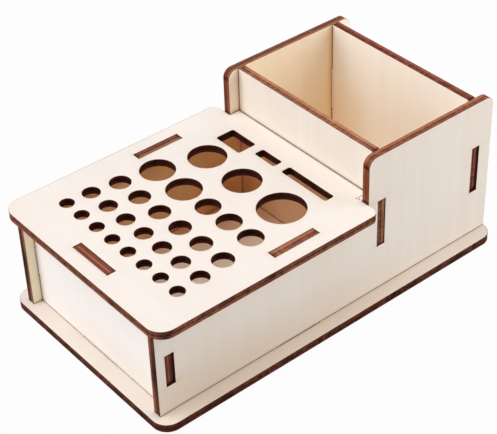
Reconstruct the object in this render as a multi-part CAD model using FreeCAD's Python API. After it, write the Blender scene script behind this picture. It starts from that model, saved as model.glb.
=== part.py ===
import FreeCAD, Part
import os
from FreeCAD import Vector

# Tool caddy cut from flat boards that lock together with tabs in slots: a low box under a loose plate
# full of tool holes, and a tall open compartment behind it. Millimetres. X runs from the front to the
# rear, Y to the left, Z up. The origin is the middle of the base plate's underside.

# Boards
board = 5.0                      # thickness that every piece is cut from
inside_width = 112.5             # between the side panels
tab_play = 0.3                   # room on each side of a tab in a slot of a fixed board
left_end_play = 0.3              # room between a cross wall's end and the left side panel
right_end_play = 0.75            # the same at the right side panel, which stands a little off
front_tab_recess = 1.4           # how far the front panel's tabs stop short of the sides' outer faces
divider_tab_recess = 0.3         # the same for the divider's tabs
rear_tab_recess = 1.3            # the same for the rear panel's tabs
foot_tab_recess = 0.3            # how far a tab in the base stops short of the base's underside

# Round holes of the rack plate, row by row from the front
first_row_hole = 8.4
second_row_hole = 10.4
third_row_hole = 12.4
narrow_row_web = 5.6             # wood between two holes of the first three rows
fourth_row_large_hole = 20.5
fourth_row_large_count = 2
fourth_row_small_hole = 14.4
fourth_row_web = 3.55
fifth_row_small_hole = 22.5
fifth_row_large_hole = 27.7
fifth_row_web = 8.2
first_row_margin = 9.9           # front panel's back face to the first row of holes
row_bridge = 5.9                 # wood between neighbouring rows, first to fourth
fifth_row_bridge = 4.5           # wood between the fourth and the fifth row
row_side_margin = 3.0            # least wood from the end of a row to the side panel's inner face

# Rectangular slots behind the holes, with their rear edges in one line
left_slot_width = 20.2
left_slot_depth = 12.4
middle_slot_width = 16.3
middle_slot_depth = 6.2
right_slot_width = 36.3
right_slot_depth = 6.3
slot_web = 6.65                  # wood between two slots
slot_row_bridge = 1.55           # rear of the largest hole to the front of the deepest slot
slot_corner_radius = 1.3

# Rack plate
lid_play = 0.25                  # room round the tabs and beside the walls that the plate slides along
plate_front_lip = 3.2            # plate beyond the side panels' front edges
plate_side_lip = 9.0             # plate beyond the side panels' outer faces
plate_rear_margin = 8.55         # slots' rear edges to the step in the side panels
plate_front_radius = 10.0
plate_rear_radius = 5.0
tongue_length = 7.3              # from the step in the side panels to the divider
tongue_play = 0.5                # room between the plate's tongue and the divider

# Walls
low_height = 57.5                # base plate to the rack plate's underside
tall_rise = 33.8                 # tall walls above the low ones
front_inset = 6.0                # side panels' front edges to the front panel
compartment_length = 68.4        # inside of the tall compartment
rear_ear = 9.3                   # side panels beyond the rear panel
tall_corner_radius = 5.5         # tall walls' top corners

# Tabs
wall_tab_length = 30.4           # tabs up and down from the side panels
wall_tab_start = 78.9            # side panels' front edges to their tabs
cross_tab_length = 30.4          # tabs up and down from the cross walls
front_tab_height = 20.2          # front panel's side tabs
front_tab_foot = 17.8            # base plate to the front panel's side tabs
tall_tab_height = 30.4           # side tabs of the divider and the rear panel

# Base plate
base_front_lip = 4.5             # base beyond the side panels' front edges
base_side_lip = 9.2              # base beyond the side panels' outer faces
base_corner_radius = 9.5

# Distance that a cutting tool runs past a board's faces
overshoot = 1.0

os.makedirs("parts", exist_ok=True)


def spread(widths, web):
    """Return the middles of openings laid from left to right with the same web between them, the
    first middle at zero."""
    middles = [0.0]
    for before, after in zip(widths, widths[1:]):
        middles.append(middles[-1] - before / 2 - web - after / 2)
    return middles


def centred_row(widths, web):
    """Return the row's middles across the plate, its two end holes equally far from the centre."""
    middles = spread(widths, web)
    centre = (middles[0] + middles[-1]) / 2
    return [middle - centre for middle in middles]


def centred_slots(widths, web):
    """Return the slots' middles across the plate, the row's two outer edges equally far out."""
    middles = spread(widths, web)
    centre = (middles[0] + widths[0] / 2 + middles[-1] - widths[-1] / 2) / 2
    return [middle - centre for middle in middles]


def filled_row(hole, web, before=(), after=()):
    """Return a row's diameters and its web: as many holes of one size as the inside width has room for
    between the holes given before and after them."""
    room = inside_width - 2 * row_side_margin
    for other in (*before, *after):
        room -= other + web
    count = int((room + web) // (hole + web))
    return [*before, *[hole] * count, *after], web


# Rows of holes: diameters from left to right, and the web between them
hole_rows = [
    filled_row(first_row_hole, narrow_row_web),
    filled_row(second_row_hole, narrow_row_web),
    filled_row(third_row_hole, narrow_row_web),
    filled_row(fourth_row_small_hole, fourth_row_web,
               before=[fourth_row_large_hole] * fourth_row_large_count),
    filled_row(fifth_row_small_hole, fifth_row_web, after=[fifth_row_large_hole]),
]
row_bridges = [first_row_margin, row_bridge, row_bridge, row_bridge, fifth_row_bridge]

# Distances back from the side panels' front edges
row_places = []
row_end = front_inset + board
for (diameters, web), bridge in zip(hole_rows, row_bridges):
    row_places.append(row_end + bridge + max(diameters) / 2)
    row_end = row_places[-1] + max(diameters) / 2
slot_depths = [left_slot_depth, middle_slot_depth, right_slot_depth]
slot_widths = [left_slot_width, middle_slot_width, right_slot_width]
slot_rear = row_end + slot_row_bridge + max(slot_depths)
step_place = slot_rear + plate_rear_margin
divider_place = step_place + tongue_length
rear_panel_place = divider_place + board + compartment_length
side_length = rear_panel_place + board + rear_ear

# Distances across from the middle
inside_half = inside_width / 2
outside_half = inside_half + board
base_half = outside_half + base_side_lip
plate_half = outside_half + plate_side_lip

# Places in the frame
base_length = side_length + base_front_lip
base_front = -base_length / 2
base_rear = base_length / 2
side_front = base_front + base_front_lip
side_rear = side_front + side_length
step_front = side_front + step_place
front_panel_front = side_front + front_inset
divider_front = side_front + divider_place
rear_panel_front = side_front + rear_panel_place
wall_tab_front = side_front + wall_tab_start
wall_tab_rear = wall_tab_front + wall_tab_length
low_top = board + low_height
plate_top = low_top + board
tall_top = low_top + tall_rise
front_tab_low = board + front_tab_foot
tall_tab_low = board + (low_height + tall_rise - tall_tab_height) / 2

# Cross walls: front face, then lower edge, height and recess of the side tabs
side_tabs = [
    (front_panel_front, front_tab_low, front_tab_height, front_tab_recess),
    (divider_front, tall_tab_low, tall_tab_height, divider_tab_recess),
    (rear_panel_front, tall_tab_low, tall_tab_height, rear_tab_recess),
]


def block(x_low, x_high, y_low, y_high, z_low, z_high):
    """Return a box between two corners."""
    return Part.makeBox(x_high - x_low, y_high - y_low, z_high - z_low, Vector(x_low, y_low, z_low))


def rounded_outline(corners):
    """Return a closed outline through corners given as (point, radius). A corner with a radius is an
    arc that touches both of its straight sides."""
    edges = []
    starts = []
    ends = []
    for index, (point, radius) in enumerate(corners):
        to_before = (corners[index - 1][0] - point).normalize()
        to_after = (corners[(index + 1) % len(corners)][0] - point).normalize()
        start = point + to_before * radius
        end = point + to_after * radius
        starts.append(start)
        ends.append(end)
        if radius > 0:
            centre = point + (to_before + to_after) * radius
            middle = centre + (point - centre).normalize() * radius
            edges.append(Part.Arc(start, middle, end).toShape())
    for index in range(len(corners)):
        following = starts[(index + 1) % len(corners)]
        if (following - ends[index]).Length > 0:
            edges.append(Part.LineSegment(ends[index], following).toShape())
    return Part.Wire(Part.__sortEdges__(edges))


def cut_board(corners, thickness_way):
    """Return a board: a rounded outline carried along the thickness."""
    return Part.Face(rounded_outline(corners)).extrude(thickness_way)


def rounded_rectangle(x_low, x_high, y_low, y_high, z, radius):
    """Return the corners of a level rectangle with one radius all round."""
    return [
        (Vector(x_low, y_low, z), radius),
        (Vector(x_high, y_low, z), radius),
        (Vector(x_high, y_high, z), radius),
        (Vector(x_low, y_high, z), radius),
    ]


def wall_tab_slots(z_low, z_high, play):
    """Return the cutters for the tabs of both side panels through a level board."""
    cutters = []
    for side in (1, -1):
        inner, outer = sorted((side * inside_half, side * outside_half))
        cutters.append(block(wall_tab_front - play, wall_tab_rear + play,
                             inner - play, outer + play, z_low - overshoot, z_high + overshoot))
    return cutters


def cross_tab_slot(panel_front, z_low, z_high, play):
    """Return the cutter for a cross wall's tab through a level board."""
    half = cross_tab_length / 2 + play
    return block(panel_front - play, panel_front + board + play, -half, half,
                 z_low - overshoot, z_high + overshoot)


def make_base_plate():
    """Return the base plate: a rounded board with a slot under each wall."""
    corners = rounded_rectangle(base_front, base_rear, -base_half, base_half, 0, base_corner_radius)
    plate = cut_board(corners, Vector(0, 0, board))
    cutters = wall_tab_slots(0, board, tab_play)
    for panel_front in (front_panel_front, divider_front, rear_panel_front):
        cutters.append(cross_tab_slot(panel_front, 0, board, tab_play))
    return plate.cut(cutters)


def make_side_panel(inner_face):
    """Return a side panel on the outer side of its inner face: low in front, tall behind the step,
    with a tab up and a tab down, and slots for the three cross walls."""
    outward = board if inner_face > 0 else -board
    outline = [
        (side_front, board, 0),
        (wall_tab_front, board, 0),
        (wall_tab_front, foot_tab_recess, 0),
        (wall_tab_rear, foot_tab_recess, 0),
        (wall_tab_rear, board, 0),
        (side_rear, board, 0),
        (side_rear, tall_top, tall_corner_radius),
        (step_front, tall_top, tall_corner_radius),
        (step_front, low_top, 0),
        (wall_tab_rear, low_top, 0),
        (wall_tab_rear, plate_top, 0),
        (wall_tab_front, plate_top, 0),
        (wall_tab_front, low_top, 0),
        (side_front, low_top, 0),
    ]
    corners = [(Vector(x, inner_face, z), radius) for x, z, radius in outline]
    panel = cut_board(corners, Vector(0, outward, 0))
    y_low, y_high = sorted((inner_face, inner_face + outward))
    cutters = []
    for panel_front, tab_low, tab_height, recess in side_tabs:
        cutters.append(block(panel_front - tab_play, panel_front + board + tab_play,
                             y_low - overshoot, y_high + overshoot,
                             tab_low - tab_play, tab_low + tab_height + tab_play))
    return panel.cut(cutters)


def make_cross_panel(panel_front, tab_low, tab_height, tab_recess, top):
    """Return a wall across the box, with a tab into each side panel and one into the base."""
    panel_back = panel_front + board
    wall_right = -inside_half + right_end_play
    wall_left = inside_half - left_end_play
    tab_half = outside_half - tab_recess
    foot_half = cross_tab_length / 2
    wall = block(panel_front, panel_back, wall_right, wall_left, board, top)
    side_tab = block(panel_front, panel_back, -tab_half, tab_half, tab_low, tab_low + tab_height)
    foot_tab = block(panel_front, panel_back, -foot_half, foot_half, foot_tab_recess, board)
    return wall.fuse([side_tab, foot_tab])


def make_front_panel():
    """Return the front panel: a low cross wall with one more tab up into the rack plate."""
    half = cross_tab_length / 2
    top_tab = block(front_panel_front, front_panel_front + board, -half, half, low_top, plate_top)
    return make_cross_panel(*side_tabs[0], low_top).fuse(top_tab)


def rack_openings():
    """Return the cutters of the tool holes and the rectangular slots."""
    bottom = low_top - overshoot
    height = board + 2 * overshoot
    cutters = []
    for (diameters, web), place in zip(hole_rows, row_places):
        for middle, diameter in zip(centred_row(diameters, web), diameters):
            cutters.append(Part.makeCylinder(diameter / 2, height,
                                             Vector(side_front + place, middle, bottom)))
    rear = side_front + slot_rear
    for middle, width, depth in zip(centred_slots(slot_widths, slot_web), slot_widths, slot_depths):
        corners = rounded_rectangle(rear - depth, rear, middle - width / 2, middle + width / 2,
                                    bottom, slot_corner_radius)
        cutters.append(cut_board(corners, Vector(0, 0, height)))
    return cutters


def make_rack_plate():
    """Return the rack plate: wide in front of the step, with a tongue between the tall walls, and cut
    through by the tool holes, the slots and the slots for three tabs."""
    front = side_front - plate_front_lip
    strip_rear = step_front - lid_play
    tongue_half = inside_half - lid_play
    tongue_rear = divider_front - tongue_play
    outline = [
        (front, -plate_half, plate_front_radius),
        (strip_rear, -plate_half, plate_rear_radius),
        (strip_rear, -tongue_half, 0),
        (tongue_rear, -tongue_half, 0),
        (tongue_rear, tongue_half, 0),
        (strip_rear, tongue_half, 0),
        (strip_rear, plate_half, plate_rear_radius),
        (front, plate_half, plate_front_radius),
    ]
    corners = [(Vector(x, y, low_top), radius) for x, y, radius in outline]
    plate = cut_board(corners, Vector(0, 0, board))
    cutters = wall_tab_slots(low_top, plate_top, lid_play)
    cutters.append(cross_tab_slot(front_panel_front, low_top, plate_top, lid_play))
    return plate.cut(cutters + rack_openings())


pieces = {
    "base_plate": make_base_plate(),
    "left_side_panel": make_side_panel(inside_half),
    "right_side_panel": make_side_panel(-inside_half),
    "front_panel": make_front_panel(),
    "divider_panel": make_cross_panel(*side_tabs[1], tall_top),
    "rear_panel": make_cross_panel(*side_tabs[2], tall_top),
    "rack_plate": make_rack_plate(),
}

for name, shape in pieces.items():
    solid = shape.removeSplitter().Solids[0]
    solid.exportStep(f"parts/{name}.step")
    print(name, "volume", round(solid.Volume, 1), "box", solid.BoundBox)
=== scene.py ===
import bpy
import numpy as np
from mathutils import Matrix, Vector
from mathutils.geometry import delaunay_2d_cdt


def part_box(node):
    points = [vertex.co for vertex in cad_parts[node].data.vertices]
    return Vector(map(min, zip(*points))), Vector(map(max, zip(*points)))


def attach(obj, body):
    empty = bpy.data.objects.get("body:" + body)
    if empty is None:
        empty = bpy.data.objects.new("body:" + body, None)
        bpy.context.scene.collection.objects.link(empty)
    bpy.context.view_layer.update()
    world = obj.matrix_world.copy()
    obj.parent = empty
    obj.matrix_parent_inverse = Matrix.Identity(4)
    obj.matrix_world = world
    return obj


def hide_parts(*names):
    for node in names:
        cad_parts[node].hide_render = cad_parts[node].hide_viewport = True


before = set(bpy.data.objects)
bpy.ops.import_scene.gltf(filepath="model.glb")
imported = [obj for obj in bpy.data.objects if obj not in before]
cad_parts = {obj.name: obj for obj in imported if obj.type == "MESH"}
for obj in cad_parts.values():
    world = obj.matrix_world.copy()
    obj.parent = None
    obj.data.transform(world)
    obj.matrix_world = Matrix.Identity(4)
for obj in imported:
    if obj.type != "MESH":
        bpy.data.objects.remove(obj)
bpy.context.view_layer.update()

# Base plate
# The floor of the caddy: one rounded board of pale basswood plywood, cut out by a laser that leaves its
# edges burnt brown. Five slots take the tabs under the walls, and the board lies flat on the bench.

MILLIMETRE = 0.001
board = 5.0
tab_play = 0.3
tab_length = 30.4
wall_tab_start = 78.9
base_corner_radius = 9.5

# Cutting: distance between the points of a cut line, steps in each rounded corner, the radius below which
# the beam slows down in a corner, and the distance below which two points are one
cut_step = 1.0
corner_steps = 12
sharp_radius = 2.0
same_point = 1e-6

# Burnt edge: rounding of its two arrises, how much deeper the core is eaten away than the veneers, where it
# lies as a share of the board, and the shares at which the edge has points
arris = 0.14
arris_points = 3
core_burn = 0.10
core_middle = 0.48
core_half = 0.11
edge_shares = (0.18, 0.34, 0.42, 0.48, 0.54, 0.62, 0.80)
crease_angle = np.radians(38)

# Flat face: rows of points beside each cut, the share of that distance that they have to keep, the pitch of
# the points between them, and how far these keep from a joint and from the last row
rows_beside_cut = (0.55, 1.25)
row_share = 0.98
face_pitch = 2.0
joint_clearance = 0.2 * face_pitch
row_clearance = 0.3 * face_pitch

# Distances: how many points are measured at once, and what stands for no joint at all
points_at_once = 1000
no_joint = 100.0


def size_of(node):
    """Return the lowest and the highest corner of a solid, in millimetres."""
    low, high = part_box(node)
    return np.array(low) / MILLIMETRE, np.array(high) / MILLIMETRE


def unit(vectors):
    """Return the vectors with their lengths made one."""
    return vectors / np.linalg.norm(vectors, axis=-1, keepdims=True)


def divided(line):
    """Return a closed line with each straight divided into equal parts no longer than the cut step:
    point = start + share * (end - start), after points that repeat the next one are dropped."""
    line = line[np.linalg.norm(np.roll(line, -1, axis=0) - line, axis=1) > same_point]
    ahead = np.roll(line, -1, axis=0)
    parts = np.ceil(np.linalg.norm(ahead - line, axis=1) / cut_step - same_point).astype(int)
    straight = np.repeat(np.arange(len(line)), parts)
    part = np.arange(parts.sum()) - np.repeat(np.cumsum(parts) - parts, parts)
    share = (part / parts[straight])[:, None]
    return line[straight] + share * (ahead - line)[straight]


def cut_line(corners, opening=False):
    """Return the laser's closed line through right-angled corners (across, up, radius), and the points
    where it turns sharply and burns more. A rounded corner is the quarter circle
    centre - radius * (after * cos t + before * sin t), with its centre a radius in from both sides.
    The wood is on the left of the line: an outline runs anticlockwise and an opening clockwise."""
    corners = np.array(corners, float)
    ahead = np.roll(corners, -1, axis=0)
    anticlockwise = np.sum(corners[:, 0] * ahead[:, 1] - ahead[:, 0] * corners[:, 1]) > 0
    if anticlockwise == opening:
        corners = corners[::-1]
    point = corners[:, :2]
    radius = corners[:, 2:]
    before = unit(np.roll(point, 1, axis=0) - point)
    after = unit(np.roll(point, -1, axis=0) - point)
    turn = np.linspace(0, np.pi / 2, corner_steps + 1)[None, :, None]
    sweep = after[:, None] * np.cos(turn) + before[:, None] * np.sin(turn)
    arcs = (point + (before + after) * radius)[:, None] - radius[:, None] * sweep
    sharp = arcs[radius[:, 0] < sharp_radius]
    return divided(arcs.reshape(-1, 2)), np.concatenate([sharp[:, 0], sharp[:, -1]])


def rectangle(a_low, a_high, b_low, b_high, radius=0.0):
    """Return the four corners of a rectangle with one radius."""
    return [
        (a_low, b_low, radius),
        (a_high, b_low, radius),
        (a_high, b_high, radius),
        (a_low, b_high, radius),
    ]


def tab_slot(a_low, a_high, b_low, b_high, play):
    """Return the cut line of a slot that is larger than its tab by the play on every side."""
    return cut_line(rectangle(a_low - play, a_high + play, b_low - play, b_high + play), True)


def edge_profile():
    """Return how far the burnt edge stands back and how high it is, from one face of the board to the
    other: a quarter round at each arris, and between them a flat with its core eaten back in a smooth
    hollow, core_burn * exp(-((height - middle) / half width) squared)."""
    turn = np.linspace(0, np.pi / 2, arris_points)
    round_back = arris * (1 - np.sin(turn))
    round_high = arris * (1 - np.cos(turn))
    share = np.array(edge_shares)
    hollow = core_burn * np.exp(-((share - core_middle) / core_half) ** 2)
    back = np.concatenate([round_back, hollow, round_back[::-1]])
    high = np.concatenate([round_high, share * board, board - round_high[::-1]])
    return back, high


def beside(line):
    """Return the direction off the wood at each point of a cut line: the mean of the two straights'
    right-hand normals, made longer at a corner so that both straights move by the same distance."""
    run = unit(np.roll(line, -1, axis=0) - line)
    normal = np.stack([run[:, 1], -run[:, 0]], axis=1)
    earlier = np.roll(normal, 1, axis=0)
    return (normal + earlier) / (1 + np.sum(normal * earlier, axis=1, keepdims=True))


def to_cuts(points, starts, ends):
    """Return for each point how far the nearest cut is, and whether the point is on the wood, which it is
    when a ray from it to the right crosses an odd number of cuts."""
    reach = []
    on_wood = []
    way = ends - starts
    for some in np.array_split(points, 1 + len(points) // points_at_once):
        gap = some[:, None] - starts
        share = np.clip(np.sum(gap * way, axis=2) / np.sum(way * way, axis=1), 0, 1)
        reach.append(np.linalg.norm(gap - share[..., None] * way, axis=2).min(axis=1))
        level = (starts[:, 1] > some[:, None, 1]) != (ends[:, 1] > some[:, None, 1])
        rise = np.where(way[:, 1] == 0, 1, way[:, 1])
        crossing = starts[:, 0] + (some[:, None, 1] - starts[:, 1]) / rise * way[:, 0]
        on_wood.append(np.sum(level & (crossing > some[:, None, 0]), axis=1) % 2 == 1)
    return np.concatenate(reach), np.concatenate(on_wood)


def to_joints(points, joints):
    """Return for each point how far the nearest joint is, and a long way where a face has no joints."""
    if not joints:
        return np.full(len(points), no_joint)
    starts, ends = np.array(joints, float).swapaxes(0, 1)
    return to_cuts(points, starts, ends)[0]


def along_joints(joints):
    """Return points along every joint, no further apart than the cut step and none of them twice."""
    points = np.empty((0, 2))
    for start, end in np.array(joints, float).reshape(-1, 2, 2):
        share = np.linspace(0, 1, 2 + int(np.linalg.norm(end - start) / cut_step))
        points = np.concatenate([points, start + share[:, None] * (end - start)])
    return np.unique(points.round(4), axis=0)


def cut_board(name, node, body, cuts, axes, low, joints, finishes, widening=0.0):
    """Make a board. The edge profile is carried along every cut line: point = line - back * direction off
    the wood, at the profile's height. An opening's wall leans back by the widening towards the low side,
    as the beam spreads. The two flat faces are filled with triangles between those edges.
    Axes name the directions across, up and through the board. Joints are the two ends of each line where
    another board meets the face at the low side, and the same for the high side. Finishes are the
    materials of the face at the low side, the face at the high side, the outline's burnt edge and, where
    there are any, the walls of the openings. Three attributes, in millimetres, tell the materials how far
    the nearest cut, the nearest corner of a cut and the nearest joint are."""
    back, high = edge_profile()
    rows = len(back)
    lines = [line for line, turns in cuts]
    line = np.concatenate(lines)
    outline_turns = cuts[0][1]
    turns = np.concatenate([outline_turns, *[some for opening, some in cuts[1:]]])
    face_turns = turns[len(outline_turns):] if len(cuts) > 1 else turns
    off = np.concatenate([beside(some) for some in lines])
    count = len(line)
    counts = np.array([len(some) for some in lines])
    first = np.repeat(np.cumsum(counts) - counts, counts)
    following = first + (np.arange(count) - first + 1) % np.repeat(counts, counts)

    edge = np.empty((count, rows, 3))
    lean = np.where(np.arange(count) < counts[0], 0.0, widening)[:, None] * (1 - high / board)
    edge[..., :2] = line[:, None] - (back + lean)[..., None] * off[:, None]
    edge[..., 2] = low + high
    rim = edge[:, 0, :2]
    lowest = rim.min(axis=0)
    highest = rim.max(axis=0)
    grid = np.stack(np.meshgrid(*[np.arange(a, b, face_pitch) for a, b in zip(lowest, highest)]), axis=2)
    grid = grid.reshape(-1, 2)
    all_joints = joints[0] + joints[1]
    grid = grid[to_joints(grid, all_joints) > joint_clearance]
    middle = np.concatenate([along_joints(all_joints), grid])
    beside_cut = [line - off * (arris + row) for row in rows_beside_cut]
    inner = np.concatenate([*beside_cut, middle])
    least = np.concatenate([np.full(count, row * row_share) for row in rows_beside_cut]
                           + [np.full(len(middle), rows_beside_cut[-1] + row_clearance)])
    reach, on_wood = to_cuts(inner, rim, rim[following])
    kept = on_wood & (reach >= least)
    inner = inner[kept]
    reach = reach[kept]

    rim_edges = np.stack([np.arange(count), following], axis=1)
    flat = np.concatenate([rim, inner])
    filled = delaunay_2d_cdt(flat.tolist(), rim_edges.tolist(), [], 1, same_point)
    triangles = np.array(filled[2])
    in_doubt = np.flatnonzero((triangles < count).all(axis=1))
    on_wood = to_cuts(flat[triangles[in_doubt]].mean(axis=1), rim, rim[following])[1]
    triangles = np.delete(triangles, in_doubt[~on_wood], axis=0)
    corner = flat[triangles]
    side_1 = corner[:, 1] - corner[:, 0]
    side_2 = corner[:, 2] - corner[:, 0]
    clockwise = side_1[:, 0] * side_2[:, 1] < side_1[:, 1] * side_2[:, 0]
    triangles[clockwise] = triangles[clockwise, ::-1]

    start = np.arange(count) * rows
    inner_number = count * rows + np.arange(len(inner))
    low_number = np.concatenate([start, inner_number])
    high_number = np.concatenate([start + rows - 1, inner_number + len(inner)])
    low_face = low_number[triangles[:, ::-1]]
    high_face = high_number[triangles]
    row = np.arange(rows - 1)
    here = start[:, None] + row
    there = start[following][:, None] + row
    band = np.stack([here, there, there + 1, here + 1], axis=2).reshape(-1, 4)
    if np.linalg.det(np.eye(3)[list(axes)]) < 0:
        low_face = low_face[:, ::-1]
        high_face = high_face[:, ::-1]
        band = band[:, ::-1]

    planar = np.concatenate([
        edge.reshape(-1, 3),
        np.column_stack([inner, np.full(len(inner), low)]),
        np.column_stack([inner, np.full(len(inner), low + board)]),
    ])
    place = np.empty_like(planar)
    place[:, list(axes)] = planar * MILLIMETRE
    mesh = bpy.data.meshes.new(name)
    mesh.from_pydata(place.tolist(), [], low_face.tolist() + high_face.tolist() + band.tolist())
    outline_faces = counts[0] * (rows - 1)
    sides = [len(low_face), len(high_face), outline_faces, len(band) - outline_faces]
    mesh.polygons.foreach_set("material_index", np.repeat([0, 1, 2, 3], sides).astype(np.int32))
    mesh.polygons.foreach_set("use_smooth", np.repeat([False, False, True, True], sides))
    mesh.set_sharp_from_angle(angle=crease_angle)
    edge_gap = np.linalg.norm(planar[:count * rows, None, :2] - turns, axis=2).min(axis=1)
    face_gap = np.linalg.norm(planar[count * rows:, None, :2] - face_turns, axis=2).min(axis=1)
    on_high_side = planar[:, 2] > low + board / 2
    low_joint, high_joint = [to_joints(planar[:, :2], some) for some in joints]
    joint_gap = np.where(on_high_side, high_joint, low_joint)
    distances = {
        "reach": np.concatenate([np.zeros(count * rows), reach, reach]),
        "corner": np.concatenate([edge_gap, face_gap]),
        "joint": joint_gap,
    }
    for title, distance in distances.items():
        attribute = mesh.attributes.new(title, "FLOAT", "POINT")
        attribute.data.foreach_set("value", distance.astype(np.float32))
    for finish in finishes:
        mesh.materials.append(finish)
    piece = bpy.data.objects.new(name, mesh)
    bpy.context.scene.collection.objects.link(piece)
    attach(piece, body)
    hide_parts(node)


def paint(red, green, blue):
    """Return a colour given in display steps from 0 to 255 as the shader's linear numbers, by the standard
    curve of displays."""
    step = np.array([red, green, blue]) / 255
    linear = np.where(step <= 0.04045, step / 12.92, ((step + 0.055) / 1.055) ** 2.4)
    return (*linear.tolist(), 1.0)


class Shade:
    """A number, vector or colour in a material. Sums on numbers add Math nodes, and node() adds other
    nodes."""

    def __init__(self, tree, socket=None):
        self.tree = tree
        self.socket = socket

    def node(self, kind, settings, sockets, output=0):
        """Add a node, set its settings, then its sockets' values or links, and return an output."""
        made = self.tree.nodes.new(kind)
        for title, setting in settings.items():
            setattr(made, title, setting)
        for title, given in sockets.items():
            if isinstance(given, Shade):
                self.tree.links.new(given.socket, made.inputs[title])
            else:
                made.inputs[title].default_value = given
        return Shade(self.tree, made.outputs[output])

    def sum(self, operation, *terms):
        """Return the result of one Math node on the terms."""
        return self.node("ShaderNodeMath", {"operation": operation}, dict(enumerate(terms)))

    def __add__(self, other):
        return self.sum("ADD", self, other)

    def __radd__(self, other):
        return self.sum("ADD", other, self)

    def __sub__(self, other):
        return self.sum("SUBTRACT", self, other)

    def __rsub__(self, other):
        return self.sum("SUBTRACT", other, self)

    def __mul__(self, other):
        return self.sum("MULTIPLY", self, other)

    def __rmul__(self, other):
        return self.sum("MULTIPLY", other, self)

    def __abs__(self):
        return self.sum("ABSOLUTE", self)

    def fading(self, distance):
        """Return exp(-self / distance): one at zero, and fading out over the distance."""
        return self.sum("EXPONENT", self * (-1 / distance))

    def ramp(self, low, high):
        """Return zero below low, one above high, and a smooth rise between them."""
        settings = {"interpolation_type": "SMOOTHSTEP"}
        sockets = {"Value": self, "From Min": low, "From Max": high}
        return self.node("ShaderNodeMapRange", settings, sockets)

    def noise(self, waves, shift, detail=2.0, grain=0, waves_along=None):
        """Return soft noise at this place, with so many waves to the metre, and another number of them
        along the grain axis if it is given."""
        scale = np.full(3, waves)
        if waves_along is not None:
            scale[grain] = waves_along
        place = self.node("ShaderNodeMapping", {}, {"Vector": self, "Location": shift, "Scale": scale})
        return self.node("ShaderNodeTexNoise", {}, {"Vector": place, "Scale": 1.0, "Detail": detail})

    def blend(self, first, second):
        """Return the first colour where self is zero and the second where it is one."""
        return self.node("ShaderNodeMix", {"data_type": "RGBA"}, {0: self, 6: first, 7: second}, 2)

    def attribute(self, title):
        """Return a distance that the board's mesh carries."""
        return self.node("ShaderNodeAttribute", {"attribute_name": title}, {}, "Fac")

    def spot(self, middle, spread):
        """Return a soft spot: one within a tenth of its spread, fading to zero one spread away."""
        off = self.node("ShaderNodeVectorMath", {"operation": "SUBTRACT"}, {0: self, 1: middle})
        far = self.node("ShaderNodeVectorMath", {"operation": "DIVIDE"}, {0: off, 1: spread})
        away = self.node("ShaderNodeVectorMath", {"operation": "LENGTH"}, {0: far}, "Value")
        return 1 - away.ramp(0.1, 1.0)

    def within(self, low, high, fade):
        """Return one inside the box between two corners and zero outside it. The last stretch below the
        box's top fades out."""
        inside = 1.0
        for axis in range(3):
            place = self.node("ShaderNodeSeparateXYZ", {}, {"Vector": self}, axis)
            over = self.sum("GREATER_THAN", place, low[axis])
            under = self.sum("LESS_THAN", place, high[axis])
            inside = over * under * inside
        return inside * (1 - place.ramp(high[2] - fade, high[2]))


def spotted(colour, place, marks_and_painted_light):
    """Return the colour with single spots on it, both real stains and burns and spots of painted light and
    shade, each given by its middle and spread in millimetres, its depth and its own colour."""
    for middle, spread, depth, spot_colour in marks_and_painted_light:
        spot_weight = place.spot(np.array(middle) * MILLIMETRE, np.array(spread) * MILLIMETRE)
        colour = (spot_weight * depth).blend(colour, paint(*spot_colour))
    return colour


def new_material(name):
    """Return a new material and its plain shader."""
    material = bpy.data.materials.new(name)
    material.use_nodes = True
    return material, material.node_tree.nodes["Principled BSDF"]


def dress(material, shader, colour, roughness, bump, shine):
    """Link the colour, the roughness and the bump to a material's shader, and set how much it shines."""
    for title, shade in (("Base Color", colour), ("Roughness", roughness), ("Normal", bump)):
        material.node_tree.links.new(shade.socket, shader.inputs[title])
    shader.inputs["Specular IOR Level"].default_value = shine


# Sanded wood: waves to the metre of its fibres and streaks, across the grain and along it, and of its
# clouds and smoke, and how far in millimetres the smoke and the dark line at the joints, partly scorch and
# partly painted shade, reach
fibre_waves = 1100.0
fibre_waves_along = 38.0
streak_waves = 150.0
streak_waves_along = 7.0
cloud_waves = 22.0
smoke_waves = 260.0
cut_smoke_reach = 0.5
corner_smoke_reach = 1.1
joint_scorch_and_shade_reach = 0.36
smoke_colour = (214, 172, 108)
joint_scorch_and_shade_colour = (112, 60, 8)
wood_shine = 0.25


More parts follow.
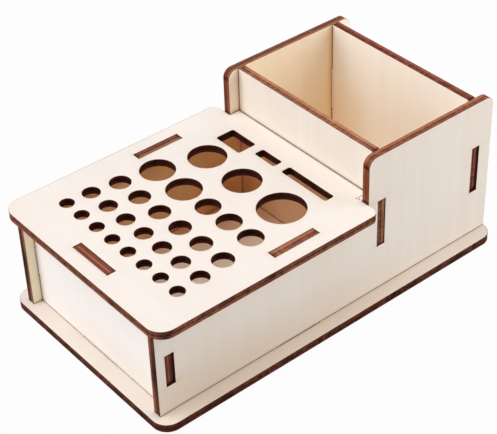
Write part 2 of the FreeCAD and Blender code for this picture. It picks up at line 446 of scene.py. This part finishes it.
def veneer(name, grain, pale, warm, shift, marks_and_painted_light=(), painted_light_boxes=()):
    """Return the material of a flat face: sanded basswood with faint fibres along the grain axis, broader
    streaks and clouds, a little tan smoke beside the cuts and at their corners, single spots of stain and
    of painted light and shade, and a dark line where another board meets it, which is partly scorch and
    partly painted shade of the joint. The shift moves its noise, so that no two faces are alike. Inside
    each box of painted light and shade, given by two corners and the height over which it fades out at its
    top, all in millimetres, the wood has two painted tones and painted spots of its own."""
    material, shader = new_material(name)
    start = Shade(material.node_tree)
    place = start.node("ShaderNodeTexCoord", {}, {}, "Object")
    fibre = place.noise(fibre_waves, shift, 3.0, grain, fibre_waves_along)
    streak = place.noise(streak_waves, shift, 2.0, grain, streak_waves_along)
    cloud = place.noise(cloud_waves, shift)
    tone = (0.25 * fibre + 0.35 * streak + 0.40 * cloud).ramp(0.30, 0.72)
    colour = tone.blend(paint(*pale), paint(*warm))
    # Painted light and shade: each box gets its own tones and painted spots
    for low, high, fade, inside_pale, inside_warm, inside_painted_spots in painted_light_boxes:
        inside = place.within(np.array(low) * MILLIMETRE, np.array(high) * MILLIMETRE, fade * MILLIMETRE)
        painted_box_tone = tone.blend(paint(*inside_pale), paint(*inside_warm))
        colour = inside.blend(colour, spotted(painted_box_tone, place, inside_painted_spots))
    patch = place.noise(smoke_waves, shift).ramp(0.35, 0.7)
    near_cut = start.attribute("reach").fading(cut_smoke_reach)
    near_corner = start.attribute("corner").fading(corner_smoke_reach)
    smoke = near_cut * (0.04 + 0.12 * patch) + near_corner * (0.15 + 0.35 * patch)
    colour = spotted(smoke.blend(colour, paint(*smoke_colour)), place, marks_and_painted_light)
    # The dark line along each joint is partly scorch and partly painted shade of the joint
    joint_scorch_and_shade = start.attribute("joint").fading(joint_scorch_and_shade_reach) * (0.70 + 0.25 * patch)
    colour = joint_scorch_and_shade.blend(colour, paint(*joint_scorch_and_shade_colour))
    bump = start.node("ShaderNodeBump", {}, {"Strength": 0.08, "Distance": 0.0003, "Height": fibre})
    dress(material, shader, colour, 0.62 + 0.16 * fibre, bump, wood_shine)
    return material


# Burnt wood: waves to the metre of the beam's streaks, across it and along it, of the uneven charring in
# broad patches and in small ones, and how far in millimetres the soot reaches from a turn of the laser
beam_waves = 900.0
beam_waves_along = 70.0
patch_waves = 60.0
char_waves = 330.0
turn_soot_reach = 0.9
burnt_shine = 0.03


def burnt_edge(name, through, low, shift, low_ply, high_ply, core_ply, charring=0.3, marks_and_painted_light=()):
    """Return the material of a laser-cut edge: two burnt veneers with a core between them, streaked where
    the beam went through, charred unevenly along its length, black where the laser turned, and with single
    stains."""
    material, shader = new_material(name)
    start = Shade(material.node_tree)
    place = start.node("ShaderNodeTexCoord", {}, {}, "Object")
    height = start.node("ShaderNodeSeparateXYZ", {}, {"Vector": place}, through)
    share = (height - low * MILLIMETRE) * (1 / (board * MILLIMETRE))
    streak = place.noise(beam_waves, shift, 3.0, through, beam_waves_along)
    patch = place.noise(patch_waves, shift, 3.0)
    char = place.noise(char_waves, shift)
    core = 1 - abs(share - core_middle).ramp(0.04, 0.15)
    veneers = share.ramp(0.42, 0.56).blend(paint(*low_ply), paint(*high_ply))
    colour = core.blend(veneers, paint(*core_ply))
    lighter = paint(*(np.array(high_ply) * 1.22 + 8))
    bare = streak.ramp(0.52, 0.80) * 0.5 + (1 - char.ramp(0.28, 0.52)) * charring
    colour = bare.blend(colour, lighter)
    uneven = patch.ramp(0.45, 0.72) + char.ramp(0.46, 0.72)
    soot = uneven * charring + start.attribute("corner").fading(turn_soot_reach) * 0.75
    colour = soot.blend(colour, paint(*(np.array(core_ply) * (0.46, 0.32, 0.24))))
    colour = spotted(colour, place, marks_and_painted_light)
    bump = start.node("ShaderNodeBump", {}, {"Strength": 0.35, "Distance": 0.0004, "Height": streak})
    dress(material, shader, colour, 0.55 + 0.25 * streak, bump, burnt_shine)
    return material


base_low, base_high = size_of("base_plate")
left_low, left_high = size_of("left_side_panel")
right_low, right_high = size_of("right_side_panel")
front_low, front_high = size_of("front_panel")
divider_low, divider_high = size_of("divider_panel")
rear_low, rear_high = size_of("rear_panel")
rack_low, rack_high = size_of("rack_plate")
side_walls = (left_low, left_high), (right_low, right_high)
across_walls = (front_low, front_high), (divider_low, divider_high), (rear_low, rear_high)

wall_tab = left_low[0] + wall_tab_start, left_low[0] + wall_tab_start + tab_length
across_tab = -tab_length / 2, tab_length / 2
base_cuts = [cut_line(rectangle(base_low[0], base_high[0], base_low[1], base_high[1], base_corner_radius))]
base_joints = []
for wall_low, wall_high in side_walls:
    base_cuts.append(tab_slot(*wall_tab, wall_low[1], wall_high[1], tab_play))
    for face in (wall_low[1], wall_high[1]):
        base_joints.append([(wall_low[0], face), (wall_high[0], face)])
for wall_low, wall_high in across_walls:
    base_cuts.append(tab_slot(wall_low[0], wall_high[0], *across_tab, tab_play))
    for face in (wall_low[0], wall_high[0]):
        base_joints.append([(face, right_high[1]), (face, left_low[1])])

# Painted light and shade inside the box: a warmer tan on two walls of the well under the rack, painted
# shade which fades out below the plate, and paler tones in the tall compartment and on both floors, painted
# light. The well's floor has painted shade in its rear left corner and along the left wall, and painted
# light near the front. Each box of painted tones ends in the middle of the boards around it, or above the
# open top, and each painted spot has its middle, spread, depth and colour
well_corner = front_low[0] + board / 2, right_low[1] + board / 2, base_low[2] + board / 2
well_end = divider_low[0] + board / 2, left_low[1] + board / 2, rack_low[2] + board / 2
compartment_corner = divider_low[0] + board / 2, right_low[1] + board / 2, base_low[2] + board / 2
compartment_end = rear_low[0] + board / 2, left_low[1] + board / 2, left_high[2] + board
short_fade = 2.0
long_fade = 20.0
floor_painted_shade = (222, 154, 98)
floor_painted_light = (255, 252, 247)
# Painted shade in the well floor's rear left corner and along its left wall, and painted light near the
# front
floor_painted_light_and_shade = [
    ((35.0, 56.0, base_high[2]), (85.0, 55.0, 6.0), 0.75, floor_painted_shade),
    ((-20.0, 56.0, base_high[2]), (50.0, 20.0, 6.0), 0.60, floor_painted_shade),
    ((-40.0, 4.0, base_high[2]), (45.0, 34.0, 6.0), 0.80, floor_painted_light),
]
left_of_well = well_corner, well_end, short_fade, (248, 214, 169), (243, 203, 154), []
rear_of_well = well_corner, well_end, long_fade, (247, 216, 180), (242, 205, 166), []
compartment = compartment_corner, compartment_end, short_fade, (248, 235, 213), (244, 226, 200), []
well_floor = well_corner, well_end, short_fade, (254, 245, 230), (250, 239, 220), floor_painted_light_and_shade
compartment_floor = compartment_corner, compartment_end, short_fade, (252, 238, 215), (247, 229, 202), []

# Painted shade, warm, along the lip on the right
lip_painted_shade = [((-10.0, -67.0, base_high[2]), (190.0, 12.0, 6.0), 0.35, (233, 208, 174))]

# Plies of the openings' walls, darker than the outer edges: low veneer, high veneer and core
opening_plies = (82, 42, 34), (69, 33, 26), (47, 22, 17)
base_finishes = [
    veneer("base_underside_veneer", 0, (236, 222, 204), (228, 210, 188), (3.1, 0.4, 1.7)),
    veneer("base_top_veneer", 0, (229, 220, 212), (224, 213, 203), (5.3, 2.2, 0.9),
           lip_painted_shade, [well_floor, compartment_floor]),
    burnt_edge("base_burnt_edge", 2, base_low[2], (1.3, 4.7, 2.9), (86, 44, 32), (96, 51, 37),
               (62, 27, 17), 0.55),
    burnt_edge("base_opening_wall", 2, base_low[2], (6.6, 2.3, 0.8), *opening_plies),
]
cut_board("base_board", "base_plate", "box", base_cuts, (0, 1, 2), base_low[2], ([], base_joints),
          base_finishes)

# Side panels
# Two mirrored walls of the same plywood, low in front and tall behind the step, with rounded top corners.
# Each stands on the base by one tab, holds the rack plate by another, and is slotted for the cross walls.

step_from_front = 145.0
side_foot = base_high[2]
tall_corner_radius = 5.5
foot_tab_recess = 0.3
front_tab_low = 22.8
front_tab_height = 20.2
tall_tab_height = 30.4

tall_tab_low = (side_foot + left_high[2] - tall_tab_height) / 2
wall_tabs_across = {
    "front_panel": (front_tab_low, front_tab_low + front_tab_height),
    "divider_panel": (tall_tab_low, tall_tab_low + tall_tab_height),
    "rear_panel": (tall_tab_low, tall_tab_low + tall_tab_height),
}


def side_cuts(wall_low, wall_high):
    """Return a side panel's cut lines, in X and Z: its outline with both tabs, and the three slots."""
    step = wall_low[0] + step_from_front
    outline = [
        (wall_low[0], side_foot, 0),
        (wall_tab[0], side_foot, 0),
        (wall_tab[0], foot_tab_recess, 0),
        (wall_tab[1], foot_tab_recess, 0),
        (wall_tab[1], side_foot, 0),
        (wall_high[0], side_foot, 0),
        (wall_high[0], wall_high[2], tall_corner_radius),
        (step, wall_high[2], tall_corner_radius),
        (step, rack_low[2], 0),
        (wall_tab[1], rack_low[2], 0),
        (wall_tab[1], rack_high[2], 0),
        (wall_tab[0], rack_high[2], 0),
        (wall_tab[0], rack_low[2], 0),
        (wall_low[0], rack_low[2], 0),
    ]
    cuts = [cut_line(outline)]
    for wall, (tab_low, tab_high) in wall_tabs_across.items():
        across_low, across_high = size_of(wall)
        cuts.append(tab_slot(across_low[0], across_high[0], tab_low, tab_high, tab_play))
    return cuts


front_edge = left_low[0]
tall_edge = left_low[0] + step_from_front
foot_joint = [(left_low[0], side_foot), (left_high[0], side_foot)]
inner_joints = [foot_joint, [(tall_edge, rack_high[2]), (divider_low[0], rack_high[2])]]
for wall_low, wall_high in across_walls:
    for face in (wall_low[0], wall_high[0]):
        inner_joints.append([(face, side_foot), (face, wall_high[2])])

# Stains and painted light: painted shade, broad and warm, low on the right panel, and smoke beside its
# slots, painted light on the rear end of the left panel, painted shade in its warm inside corners and
# singed joints deepened by painted shade, and soot and rust-red burns on the front edges of both, with a
# black mark at the top and at the foot of the tall ones
left_inside = left_low[1]
left_middle = left_low[1] + board / 2
right_outside = right_low[1]
right_middle = right_low[1] + board / 2
smoke_tan = (234, 209, 146)
smoke_pale = (240, 220, 168)
soot = (40, 15, 8)
rust = (140, 66, 38)
smoke_and_painted_shade = [
    # Painted shade, broad and warm, low on the right panel
    ((-85.0, right_outside, 2.0), (185.0, 20.0, 44.0), 0.50, (222, 200, 172)),
    ((-104.2, right_outside, 23.0), (4.4, 2.0, 2.2), 0.75, smoke_tan),
    ((-109.4, right_outside, 21.6), (5.0, 2.0, 1.5), 0.60, smoke_pale),
    ((41.2, right_outside, 35.0), (3.0, 2.0, 2.2), 0.25, smoke_tan),
    ((29.5, right_outside, 67.0), (5.0, 2.0, 3.5), 0.20, smoke_tan),
    ((114.5, right_outside, 35.5), (2.6, 2.0, 2.0), 0.25, smoke_tan),
]
painted_corner_shade = (236, 198, 136)
painted_dark_corner_shade = (208, 154, 98)
singed_and_shaded = (230, 180, 104)
left_inner_marks_and_painted_light = [
    # Painted light on the rear end, painted shade in the inside corners, and singed joints deepened by
    # painted shade
    ((119.0, left_inside, 84.0), (8.0, 2.0, 20.0), 0.90, (253, 250, 246)),
    ((106.0, left_inside, 30.0), (42.0, 5.0, 56.0), 0.25, painted_corner_shade),
    ((17.0, left_inside, 12.0), (22.0, 4.0, 34.0), 0.60, painted_dark_corner_shade),
    ((107.9, left_inside, 62.0), (4.5, 2.0, 90.0), 0.65, singed_and_shaded),
    ((34.4, left_inside, 80.0), (3.6, 2.0, 40.0), 0.35, singed_and_shaded),
    ((31.0, left_inside, 67.5), (8.0, 2.0, 4.0), 0.55, singed_and_shaded),
]
left_burns = [
    ((front_edge, left_middle, 34.0), (5.0, 9.0, 80.0), 0.15, soot),
    ((front_edge, 61.2, 34.0), (4.0, 4.4, 70.0), 0.70, soot),
    ((front_edge, 60.0, 33.0), (4.0, 6.0, 22.0), 0.80, soot),
    ((tall_edge, 58.0, 82.0), (3.0, 6.0, 24.0), 0.60, rust),
    ((tall_edge, 61.0, 80.0), (3.0, 4.5, 22.0), 0.45, soot),
    ((tall_edge, left_middle, 91.0), (4.0, 6.0, 2.2), 0.80, soot),
    ((tall_edge, left_middle, 68.0), (3.0, 6.0, 1.8), 0.80, soot),
]
right_burns = [
    ((front_edge, right_middle, 34.0), (5.0, 9.0, 80.0), 0.22, soot),
    ((front_edge, -61.2, 34.0), (4.0, 5.0, 70.0), 0.65, soot),
    ((front_edge, -59.8, 33.0), (4.0, 6.0, 20.0), 0.75, soot),
    ((tall_edge, right_middle, 82.0), (3.0, 7.0, 24.0), 0.65, rust),
    ((tall_edge, -58.0, 82.0), (3.0, 5.0, 22.0), 0.25, soot),
    ((tall_edge, right_middle, 91.0), (4.0, 6.0, 2.2), 0.80, soot),
    ((tall_edge, right_middle, 68.0), (3.0, 6.0, 1.8), 0.80, soot),
]
# The inner faces of both side panels are paler and warmer than the outer ones: painted light, warm from
# bouncing between the walls
left_finishes = [
    veneer("left_inner_veneer", 2, (253, 241, 216), (250, 233, 204), (0.7, 1.9, 6.1), left_inner_marks_and_painted_light,
           [left_of_well, compartment]),
    veneer("left_outer_veneer", 2, (240, 230, 217), (234, 221, 205), (2.7, 7.9, 3.3)),
    burnt_edge("left_burnt_edge", 1, left_low[1], (8.1, 0.6, 1.1), (148, 97, 75), (116, 72, 55),
               (86, 46, 32), 0.20, left_burns),
    burnt_edge("left_opening_wall", 1, left_low[1], (3.3, 5.1, 0.4), *opening_plies),
]
right_finishes = [
    veneer("right_outer_veneer", 2, (243, 233, 223), (239, 226, 213), (6.2, 3.8, 4.4), smoke_and_painted_shade),
    veneer("right_inner_veneer", 2, (249, 240, 224), (245, 233, 212), (9.4, 5.5, 0.2)),
    burnt_edge("right_burnt_edge", 1, right_low[1], (4.3, 9.2, 7.6), (122, 75, 58), (156, 101, 75),
               (92, 48, 32), 0.20, right_burns),
    burnt_edge("right_opening_wall", 1, right_low[1], (0.9, 8.8, 2.5), *opening_plies),
]
cut_board("left_side_board", "left_side_panel", "box", side_cuts(left_low, left_high), (0, 2, 1),
          left_low[1], (inner_joints, [foot_joint]), left_finishes)
cut_board("right_side_board", "right_side_panel", "box", side_cuts(right_low, right_high), (0, 2, 1),
          right_low[1], ([foot_joint], inner_joints), right_finishes)

# Front, divider and rear panels
# Three walls across the box, each with a tab in both side panels and one in the base. The front one is low
# and has one more tab up into the rack plate. They stop a little short of the side panels.

left_end_play = 0.3
right_end_play = 0.75

inside_right = right_high[1] + right_end_play
inside_left = left_low[1] - left_end_play


def across_cuts(wall, top, top_tab=None):
    """Return the cut line of a wall across the box, in Y and Z, with a tab on each side, one in the base
    and, if a height is given for it, one on top."""
    wall_low, wall_high = size_of(wall)
    tab_low, tab_high = wall_tabs_across[wall]
    tab_right, tab_left = across_tab
    outline = [
        (inside_right, side_foot, 0),
        (tab_right, side_foot, 0),
        (tab_right, foot_tab_recess, 0),
        (tab_left, foot_tab_recess, 0),
        (tab_left, side_foot, 0),
        (inside_left, side_foot, 0),
        (inside_left, tab_low, 0),
        (wall_high[1], tab_low, 0),
        (wall_high[1], tab_high, 0),
        (inside_left, tab_high, 0),
        (inside_left, top, 0),
    ]
    if top_tab is not None:
        outline += [
            (tab_left, top, 0),
            (tab_left, top_tab, 0),
            (tab_right, top_tab, 0),
            (tab_right, top, 0),
        ]
    outline += [
        (inside_right, top, 0),
        (inside_right, tab_high, 0),
        (wall_low[1], tab_high, 0),
        (wall_low[1], tab_low, 0),
        (inside_right, tab_low, 0),
    ]
    return [cut_line(outline)]


across_foot = [(inside_right, side_foot), (inside_left, side_foot)]
rack_joint = [(inside_right, rack_high[2]), (inside_left, rack_high[2])]

# Painted shade and soot: faint painted shade low on the front panel, the well's dark corner painted as
# shade on the divider, the compartment's warm corner painted as shade on the rear panel, and soot on the
# tab ends in the right panel
front_painted_shade = [((front_low[0], -20.0, 8.0), (5.0, 70.0, 24.0), 0.50, (238, 226, 215))]
front_burns = [((front_low[0] + 2.0, -61.0, 33.0), (5.0, 3.0, 16.0), 0.35, soot)]
divider_painted_shade = [((divider_low[0], 54.0, 12.0), (4.0, 26.0, 38.0), 0.50, painted_dark_corner_shade)]
divider_burns = [((divider_low[0] + 2.5, -61.0, 50.7), (6.0, 3.0, 22.0), 0.50, soot)]
rear_painted_shade = [((rear_low[0], 54.0, 26.0), (5.0, 40.0, 56.0), 0.30, painted_corner_shade)]

# The front panel's inner face and the divider's back are warmer than their other faces: painted warm light
# from bouncing inside the box
front_finishes = [
    veneer("front_outer_veneer", 2, (252, 245, 241), (248, 241, 235), (1.5, 6.6, 2.8), front_painted_shade),
    veneer("front_inner_veneer", 2, (250, 240, 224), (246, 233, 212), (7.7, 2.4, 5.0)),
    burnt_edge("front_burnt_edge", 0, front_low[0], (3.9, 1.2, 8.8), (120, 63, 46), (118, 64, 47),
               (154, 101, 87), 0.12, front_burns),
]
divider_finishes = [
    veneer("divider_front_veneer", 2, (240, 230, 220), (236, 224, 211), (5.8, 8.3, 1.4),
           divider_painted_shade, [rear_of_well]),
    veneer("divider_back_veneer", 2, (241, 226, 202), (236, 217, 189), (0.3, 4.1, 9.7)),
    burnt_edge("divider_burnt_edge", 0, divider_low[0], (6.9, 3.0, 2.2), (130, 87, 67), (172, 116, 88),
               (108, 58, 42), 0.22, divider_burns),
]
rear_finishes = [
    veneer("rear_inner_veneer", 2, (243, 240, 235), (239, 233, 224), (2.1, 5.9, 7.3), rear_painted_shade),
    veneer("rear_outer_veneer", 2, (240, 230, 217), (234, 221, 204), (8.6, 0.8, 3.7)),
    burnt_edge("rear_burnt_edge", 0, rear_low[0], (1.8, 7.1, 5.6), (104, 55, 40), (140, 80, 65),
               (92, 44, 31)),
]
cut_board("front_board", "front_panel", "box", across_cuts("front_panel", rack_low[2], rack_high[2]),
          (1, 2, 0), front_low[0], ([], [across_foot]), front_finishes)
cut_board("divider_board", "divider_panel", "box", across_cuts("divider_panel", divider_high[2]),
          (1, 2, 0), divider_low[0], ([across_foot, rack_joint], [across_foot]), divider_finishes)
cut_board("rear_board", "rear_panel", "box", across_cuts("rear_panel", rear_high[2]),
          (1, 2, 0), rear_low[0], ([across_foot], [across_foot]), rear_finishes)

# Rack plate
# The loose top board that holds the tools: twenty-nine round holes in five rows, three slots behind them,
# and three tab slots that drop over the tabs of the front and side panels. A tongue fills the gap between
# the tall walls.

lid_play = 0.25
plate_front_radius = 10.0
plate_rear_radius = 5.0
tongue_length = 7.05

# Rows of holes from the front: middle behind the side panels' front edges, web between holes, diameters
hole_rows = [
    (25.1, 5.6, [8.4] * 8),
    (40.4, 5.6, [10.4] * 7),
    (57.7, 5.6, [12.4] * 6),
    (80.05, 3.55, [20.5] * 2 + [14.4] * 3),
    (108.65, 8.2, [22.5] * 2 + [27.7]),
]

# Slots from the left: width and depth, their common rear edge, and the wood between two of them
slot_sizes = [(20.2, 12.4), (16.3, 6.2), (36.3, 6.3)]
slot_rear = 136.45
slot_web = 6.65
slot_corner_radius = 1.3

# How much further out an opening's wall stands at the underside, where the beam has spread, and how many
# points a round hole has before its line is divided
opening_widening = 0.3
hole_points = 36


def row_middles(widths, web):
    """Return the middles of openings laid side by side from the left, the first one at zero: each lies
    half of both widths and one web further right."""
    widths = np.array(widths)
    return -np.concatenate([[0.0], np.cumsum(widths[:-1] / 2 + web + widths[1:] / 2)])


def hole_line(across, up, diameter):
    """Return a round hole's clockwise line, middle + radius * (cos t, -sin t), and its starting point on
    the right-hand side, where the beam burns in."""
    turn = np.linspace(0, 2 * np.pi, hole_points, endpoint=False) + np.pi / 2
    ring = np.stack([across + diameter / 2 * np.cos(turn), up - diameter / 2 * np.sin(turn)], axis=1)
    return divided(ring), ring[:1]


strip_rear = rack_high[0] - tongue_length
tongue_half = left_low[1] - lid_play
plate_outline = [
    (rack_low[0], rack_low[1], plate_front_radius),
    (strip_rear, rack_low[1], plate_rear_radius),
    (strip_rear, -tongue_half, 0),
    (rack_high[0], -tongue_half, 0),
    (rack_high[0], tongue_half, 0),
    (strip_rear, tongue_half, 0),
    (strip_rear, rack_high[1], plate_rear_radius),
    (rack_low[0], rack_high[1], plate_front_radius),
]
plate_cuts = [cut_line(plate_outline)]
for wall_low, wall_high in side_walls:
    plate_cuts.append(tab_slot(*wall_tab, wall_low[1], wall_high[1], lid_play))
plate_cuts.append(tab_slot(front_low[0], front_high[0], *across_tab, lid_play))
for place, web, diameters in hole_rows:
    middles = row_middles(diameters, web)
    for middle, diameter in zip(middles - middles[-1] / 2, diameters):
        plate_cuts.append(hole_line(left_low[0] + place, middle, diameter))
widths = [width for width, depth in slot_sizes]
middles = row_middles(widths, slot_web)
slot_shift = (middles[0] + widths[0] / 2 + middles[-1] - widths[-1] / 2) / 2
rear_edge = left_low[0] + slot_rear
for middle, (width, depth) in zip(middles - slot_shift, slot_sizes):
    plate_cuts.append(cut_line(rectangle(rear_edge - depth, rear_edge, middle - width / 2,
                                         middle + width / 2, slot_corner_radius), True))
plate_joints = [
    [(rack_high[0], -tongue_half), (rack_high[0], tongue_half)],
    [(strip_rear, -tongue_half), (strip_rear, right_low[1])],
    [(strip_rear, tongue_half), (strip_rear, left_high[1])],
]

# Marks and painted light: painted light on the rear left corner, a grey line along the left edge, and four
# burnt dots beside the right tall wall
dot_spread = (0.85, 0.85, 0.85)
burnt_dot = (84, 62, 42)
plate_marks_and_painted_light = [
    # Painted light on the rear left corner
    ((25.0, 66.0, rack_high[2]), (60.0, 30.0, 3.0), 0.60, (246, 238, 231)),
    ((-43.0, rack_high[1], rack_high[2]), (130.0, 1.3, 2.0), 0.60, (188, 176, 160)),
]
for dot in ((26.5, -52.7), (28.3, -52.6), (30.1, -52.5), (27.1, -54.2)):
    plate_marks_and_painted_light.append(((*dot, rack_high[2]), dot_spread, 0.95, burnt_dot))

# The plate's underside is paler and warmer than its top: painted light for the shade under the rack
plate_finishes = [
    veneer("plate_underside_veneer", 1, (248, 239, 225), (242, 229, 211), (4.8, 6.0, 8.1)),
    veneer("plate_top_veneer", 1, (230, 221, 213), (226, 216, 208), (7.2, 1.1, 6.4), plate_marks_and_painted_light),
    burnt_edge("plate_burnt_edge", 2, rack_low[2], (2.6, 8.5, 0.5), (142, 89, 68), (122, 72, 55),
               (84, 44, 30), 0.45),
    burnt_edge("plate_opening_wall", 2, rack_low[2], (5.2, 3.4, 9.9), *opening_plies),
]
cut_board("rack_board", "rack_plate", "rack", plate_cuts, (0, 1, 2), rack_low[2], ([], plate_joints),
          plate_finishes, opening_widening)

# Studio
# A white bench with a soft lamp overhead, a wide one in front of the caddy's left corner, and a fill lamp
# behind its right one. The bench shows as plain white with a faint shadow. The camera stands where the
# photographer stood.

bench_half = 3.0
bench_drop = 0.0003
bench_grey = 0.55
bench_white_share = 0.96
room_strength = 0.315

bench_mesh = bpy.data.meshes.new("bench")
bench_outline = rectangle(-bench_half, bench_half, -bench_half, bench_half)
bench_corners = [(across, up, -bench_drop) for across, up, radius in bench_outline]
bench_mesh.from_pydata(bench_corners, [], [(0, 1, 2, 3)])
bench = bpy.data.objects.new("bench", bench_mesh)
bpy.context.scene.collection.objects.link(bench)


def seen_white(tree, plain, share):
    """Return the plain shader, mixed with white light by this share where a ray comes from the camera, or
    from it by way of a mirror or a window."""
    rays = tree.nodes.new("ShaderNodeLightPath")
    start = Shade(tree)
    seen = start.sum("MAXIMUM", Shade(tree, rays.outputs["Is Camera Ray"]),
                     start.sum("MAXIMUM", Shade(tree, rays.outputs["Is Glossy Ray"]),
                               Shade(tree, rays.outputs["Is Transmission Ray"])))
    white = tree.nodes.new("ShaderNodeEmission")
    return start.node("ShaderNodeMixShader", {},
                      {0: seen * share, 1: plain, 2: Shade(tree, white.outputs[0])})


bench_paint, bench_plain = new_material("bench_paint")
bench_tree = bench_paint.node_tree
bench_plain.inputs["Base Color"].default_value = (bench_grey, bench_grey, bench_grey, 1.0)
bench_plain.inputs["Roughness"].default_value = 1.0
bench_plain.inputs["Specular IOR Level"].default_value = 0.0
bench_shader = seen_white(bench_tree, Shade(bench_tree, bench_plain.outputs[0]), bench_white_share)
bench_tree.links.new(bench_shader.socket, bench_tree.nodes["Material Output"].inputs["Surface"])
bench_mesh.materials.append(bench_paint)

room = bpy.data.worlds.new("room")
room.use_nodes = True
room_tree = room.node_tree
room_light = room_tree.nodes["Background"]
room_light.inputs["Color"].default_value = (1.0, 1.0, 1.0, 1.0)
room_light.inputs["Strength"].default_value = room_strength
room_shader = seen_white(room_tree, Shade(room_tree, room_light.outputs[0]), 1.0)
room_tree.links.new(room_shader.socket, room_tree.nodes["World Output"].inputs["Surface"])
bpy.context.scene.world = room


lamp_aim = np.array([0.0, 0.0, 0.05])


def soft_lamp(name, place, width, height, power):
    """Hang a rectangular lamp at a place, turned to shine at the caddy's middle."""
    data = bpy.data.lights.new(name, "AREA")
    data.shape = "RECTANGLE"
    data.size = width
    data.size_y = height
    data.energy = power
    lamp = bpy.data.objects.new(name, data)
    away = unit(np.array(place) - lamp_aim)
    side = unit(np.cross((0.0, 1.0, 0.0), away))
    turn = np.eye(4)
    turn[:3, :3] = np.column_stack([side, np.cross(away, side), away])
    turn[:3, 3] = place
    lamp.matrix_world = Matrix(turn.tolist())
    bpy.context.scene.collection.objects.link(lamp)


soft_lamp("overhead_lamp", (-0.5, 0.3, 1.45), width=1.4, height=1.4, power=19.3)
soft_lamp("front_lamp", (-1.6, 0.8, 0.55), width=1.2, height=0.9, power=13.1)
soft_lamp("fill_lamp", (0.7, -0.6, 0.4), width=0.9, height=0.7, power=6.5)

# Camera: the photograph's frame, the focal length and the point that the lens axis meets, all in pixels,
# the sensor in millimetres, where the photographer stood in metres, and the picture's two directions
photo_width = 497
photo_height = 434
focal_pixels = 1491.11
axis_across = 259.33
axis_down = 190.58
sensor_width = 36.0
near_limit = 0.01
photographer = (-0.41828, -0.51704, 0.55302)
picture_right = np.array([0.7644, -0.64429, -0.02406])
picture_down = np.array([-0.40026, -0.44496, -0.80113])

lens = bpy.data.cameras.new("camera")
lens.sensor_fit = "HORIZONTAL"
lens.sensor_width = sensor_width
lens.lens = focal_pixels * sensor_width / photo_width
lens.shift_x = (photo_width / 2 - axis_across) / photo_width
lens.shift_y = (axis_down - photo_height / 2) / photo_width
lens.clip_start = near_limit
camera = bpy.data.objects.new("camera", lens)
stand = np.eye(4)
stand[:3, :3] = np.column_stack([picture_right, -picture_down, np.cross(picture_right, -picture_down)])
stand[:3, 3] = photographer
camera.matrix_world = Matrix(stand.tolist())
bpy.context.scene.collection.objects.link(camera)
bpy.context.scene.camera = camera
bpy.context.scene.view_settings.view_transform = "Standard"

# Light passes many times between the pale walls of the well under the rack
well_bounces = 12
bpy.context.scene.cycles.diffuse_bounces = well_bounces
